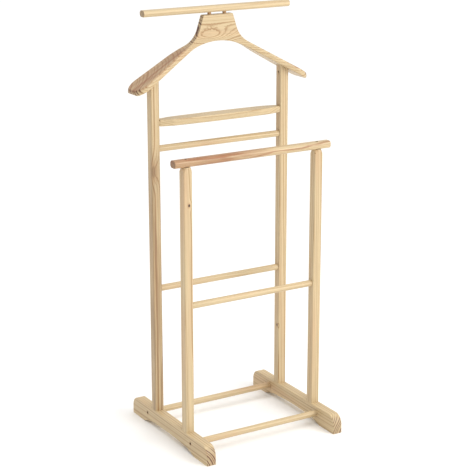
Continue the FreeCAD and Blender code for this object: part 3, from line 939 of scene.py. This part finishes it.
def makeScrews():
    tree = makeScrewTree()
    for kind, ends in screwEnds.items():
        s = screwSizes[kind]
        nodes, spots = [], []
        for end in ends:
            for side, mirror in (("left", -1), ("right", 1)):
                node = "_".join(word for word in (kind, end, side) if word)
                spot, aim = screwSpot(kind, node, mirror, mm(s["length"]))
                nodes.append(node)
                spots.append((spot, aim, 1.0))
        sizes = {
            "Shank radius": mm(s["shank"] / 2), "Head radius": mm(s["head"] / 2),
            "Head height": mm(s["coneHeight"]), "Rim": mm(screwSizes["rim"]), "Length": mm(s["length"]),
            "Point": mm(screwSizes["point"]), "Pitch": mm(s["pitch"]),
            "Thread depth": mm(screwSizes["threadDepth"]),
            "Recess reach": mm(s["head"] * screwSizes["recessReach"]),
            "Recess width": mm(s["head"] * screwSizes["recessWidth"]),
            "Recess depth": mm(s["coneHeight"] * screwSizes["recessDepth"]), "Material": zinc,
        }
        grow(kind.replace("_s", "S") + "s", tree, spots, sizes, nodes)


# both colours are much darker than bright zinc: painted shade of the screw heads sunk in their bores
zincLook = {
    "paintedLightTone": shade(58, 53, 48),
    "paintedDarkTone": shade(38, 33, 29),
    "bloom": 420.0,  # cycles to a metre
    "marks": (2600.0, 2600.0, 300.0),
    "roughness": (0.42, 0.6),
    "relief": 0.2,
    "reliefDepth": 0.05,  # millimetres
}


def makeZinc():
    material = bpy.data.materials.new("zincPlate")
    material.use_nodes = True
    tree = material.node_tree
    shader = tree.nodes["Principled BSDF"]
    spot = addNode(tree, "ShaderNodeTexCoord").outputs["Object"]
    bloom = noise(tree, vectorCalc(tree, "SCALE", spot, zincLook["bloom"]), 1.0, 4.0, 0.6).outputs[0]
    marks = stretchedNoise(tree, spot, zincLook["marks"], 2.0, 0.5)
    colour = blendColours(tree, ramp(tree, bloom, 0.35, 0.7), zincLook["paintedLightTone"], zincLook["paintedDarkTone"])
    plug(tree, shader.inputs["Base Color"], colour)
    plug(tree, shader.inputs["Roughness"], ramp(tree, marks, 0.3, 0.7, *zincLook["roughness"], smooth=False))
    shader.inputs["Metallic"].default_value = 1.0
    relief = addNode(tree, "ShaderNodeBump")
    relief.inputs["Strength"].default_value = zincLook["relief"]
    relief.inputs["Distance"].default_value = mm(zincLook["reliefDepth"])
    plug(tree, relief.inputs["Height"], marks)
    plug(tree, shader.inputs["Normal"], relief.outputs[0])
    return material


# Where the wood is red or brown.
# Positions are in metres in the stand's own frame.
frontBarHeart = {
    "waves": (10.0, 60.0, 60.0),  # cycles to a metre
    "waveSeed": 3.0,
    "fade": (-0.05, 0.06),
    "fadeWander": 0.3,
    "patches": (-0.15, 0.12, 0.6, 1.0),
    "stripeHeight": 0.627,
    "stripeSlope": -0.05,
    "stripeWander": 0.016,
    "stripeEdge": (0.0006, 0.0022),
    "stripeStrength": 0.8,
}
postHeart = {
    "streaks": (150.0, 150.0, 5.0),
    "streakSeed": 6.0,
    "streakSpan": (0.36, 0.62, 0.15, 0.8),
    "fade": (0.66, 0.575),
}
hangerHeart = {
    "waves": (16.0, 90.0, 30.0),
    "waveSeed": 1.7,
    "level": (0.8785, 0.8815),  # height plus the arm's drop: the upper skin of both arms
    "levelWander": 0.006,
    "streakSlope": -0.1,
    "streakWander": 0.012,
    "streakAt": 0.079,
    "streakEdge": (0.002, 0.007),
    "leftPatches": (-0.12, 0.14, 0.35, 0.7),
    "leftFade": (-0.06, -0.1),
    "rightFade": (0.15, 0.18),
    "rightPatches": (-0.06, 0.1, 0.1, 0.9),
}


def splitUp(tree, spot):
    parts = addNode(tree, "ShaderNodeSeparateXYZ")
    plug(tree, parts.inputs[0], spot)
    return parts.outputs


def heartOfFrontBar(tree, spot):
    # red-brown over the left half, one wavy stripe in the paler half
    s = frontBarHeart
    at = splitUp(tree, spot)
    wave = stretchedNoise(tree, spot, s["waves"], 2.0, 0.55, s["waveSeed"])
    wave = calc(tree, "SUBTRACT", wave, 0.5)
    left = ramp(tree, calc(tree, "MULTIPLY_ADD", wave, s["fadeWander"], at["X"]), *s["fade"], 1.0, 0.0)
    patchy = ramp(tree, wave, *s["patches"])
    line = calc(tree, "MULTIPLY_ADD", at["X"], s["stripeSlope"], at["Z"])
    line = calc(tree, "MULTIPLY_ADD", wave, s["stripeWander"], line)
    line = calc(tree, "ABSOLUTE", calc(tree, "SUBTRACT", line, s["stripeHeight"]))
    stripe = times(tree, ramp(tree, line, *s["stripeEdge"], 1.0, 0.0), s["stripeStrength"])
    return calc(tree, "MAXIMUM", times(tree, left, patchy), stripe)


def heartOfPost(tree, spot):
    # browner below the swirl, in long streaks
    s = postHeart
    at = splitUp(tree, spot)
    wave = stretchedNoise(tree, spot, s["streaks"], 3.0, 0.6, s["streakSeed"])
    return times(tree, ramp(tree, at["Z"], *s["fade"]), ramp(tree, wave, *s["streakSpan"]))


def heartOfHanger(tree, spot):
    # over the top of the left arm with one strong streak, and a little at the tip of the right one
    s = hangerHeart
    at = splitUp(tree, spot)
    slope = math.tan(math.radians(hangerSizes["armAngle"]))
    level = calc(tree, "MULTIPLY_ADD", calc(tree, "ABSOLUTE", at["X"]), slope, at["Z"])
    wave = stretchedNoise(tree, spot, s["waves"], 2.0, 0.5, s["waveSeed"])
    wave = calc(tree, "SUBTRACT", wave, 0.5)
    high = ramp(tree, calc(tree, "MULTIPLY_ADD", wave, s["levelWander"], level), *s["level"])
    # the streak drifts from the middle of the shoulder to its front
    line = calc(tree, "MULTIPLY_ADD", at["X"], s["streakSlope"], at["Y"])
    line = calc(tree, "MULTIPLY_ADD", wave, s["streakWander"], line)
    line = calc(tree, "ABSOLUTE", calc(tree, "SUBTRACT", line, s["streakAt"]))
    streak = ramp(tree, line, *s["streakEdge"], 1.0, 0.0)
    left = calc(tree, "MAXIMUM", streak, ramp(tree, wave, *s["leftPatches"]))
    left = times(tree, left, ramp(tree, at["X"], *s["leftFade"]))
    right = ramp(tree, wave, *s["rightPatches"])
    right = times(tree, ramp(tree, at["X"], *s["rightFade"]), right)
    return times(tree, high, calc(tree, "MAXIMUM", left, right))


# Materials of the pieces.
# Places and sizes in millimetres; the pith is where the middle of the trunk would be.
postKnots = {
    "rear_left_post": [{"at": (-166, 59, 585), "stretch": (1.0, 1.0, 2.6), "size": 5.0, "push": 9.0,
                        "dark": 0.25, "halo": 0.8}],
    "rear_right_post": [{"at": (150, 66, 183), "stretch": (1.0, 1.0, 1.3), "size": 2.4, "push": 5.0}],
    "front_left_post": [{"at": (-158, -79, 542), "stretch": (1.0, 1.0, 1.5), "size": 2.2, "push": 7.0}],
    "front_right_post": [],
}
postPith = {
    "rear_left_post": (-205, 110, 400),
    "rear_right_post": (205, 120, 400),
    "front_left_post": (-120, -15, 400),
    "front_right_post": (215, -30, 400),
}
postBrown = {"Brown": shade(136, 102, 70)}
# painted shade: dark rings round the screw holes in the feet, standing in for the shadow in the deep bores
footBores = {"x": 171, "y": 97.5, "z": 24.5, "size": 3.1, "halo": 0.5}
neckOval = {"at": (-20, 71, 858), "stretch": (3.2, 3.0, 1.0), "size": 7.5, "push": 30.0,
            "dark": 0.0, "halo": 0.0}
beechTones = {"Pale": shade(172, 134, 94), "Late": shade(146, 106, 72), "Rose": shade(164, 120, 88)}


def footBoreShade(side):
    return [{"at": (side * footBores["x"], y, footBores["z"]), "stretch": (1.0, 1.0, 1.0),
             "size": footBores["size"], "push": 0.0, "halo": footBores["halo"]}
            for y in (-footBores["y"], footBores["y"])]


def makeMaterials():
    wood = {}
    for count, (node, knots) in enumerate(postKnots.items()):
        wood[node] = pineMaterial(
            node.replace("_post", "PostPine").replace("_", ""), alongZ, postPith[node], spacing=4.4,
            wander=9.0, tilt=(0.5, -0.4, 0.0), seed=2.0 + 3.1 * count, contrast=0.95, knots=knots, blush=0.55,
            heart=heartOfPost if node == "rear_left_post" else None, tones=postBrown)
    wood["left_foot"] = pineMaterial(
        "leftFootPine", alongY, (-212, 0, -14), spacing=5.0, wander=4.0, late=0.5, tilt=(0.6, 0.0, 0.8),
        seed=21.0, contrast=0.85, blush=0.9, knots=footBoreShade(-1), endDark=1.2)
    wood["right_foot"] = pineMaterial(
        "rightFootPine", alongY, (205, 0, -14), spacing=5.0, wander=4.0, late=0.5, tilt=(-0.5, 0.0, 0.7),
        seed=33.0, contrast=0.75, blush=0.6, knots=footBoreShade(1), endDark=1.2)
    wood["top_bar"] = pineMaterial(
        "topBarPine", alongX, (0, 120, 880), spacing=4.0, wander=5.0, tilt=(0.4, 0.3, 0.0),
        seed=41.0, contrast=0.5, blush=0.3, endDark=1.7)
    wood["valet_rail"] = pineMaterial(
        "railPine", alongX, (0, 120, 640), spacing=4.6, wander=6.0, tilt=(0.6, 0.3, 0.0),
        seed=47.0, contrast=0.55, blush=0.4)
    wood["front_bar"] = pineMaterial(
        "heartwoodPine", alongX, (0, -100, 660), spacing=3.8, wander=12.0, tilt=(1.2, 0.8, 0.0),
        seed=53.0, contrast=0.85, blush=0.8, heart=heartOfFrontBar, endDark=1.5)
    return wood


pineOf = makeMaterials()
for node, material in pineOf.items():
    paint(node, material)
hangerPine = pineMaterial(
    "hangerPine", alongX, (0, 104, 705), spacing=5.0, wander=5.0, late=0.5, tilt=(1.0, 1.0, 0.0), seed=61.0,
    contrast=1.0, blush=0.5, endDark=1.3, knots=[neckOval], heart=heartOfHanger)
hanger.data.materials.append(hangerPine)
rodPine = pineMaterial(
    "rodPine", alongX, (0, 20, 300), spacing=4.4, wander=10.0, tilt=(0.8, 0.9, 0.0), seed=71.0,
    contrast=0.6, blush=0.8, endDark=0.3)
beech = pineMaterial(
    "turnedBeech", alongZ, (60, 20, 400), spacing=2.4, wander=4.0, seed=83.0, contrast=0.3, blush=0.6,
    endDark=0.4, tones=beechTones)
zinc = makeZinc()
print("materials ready")
makeRods()
makeDowels()
makeScrews()

print("stand finished")
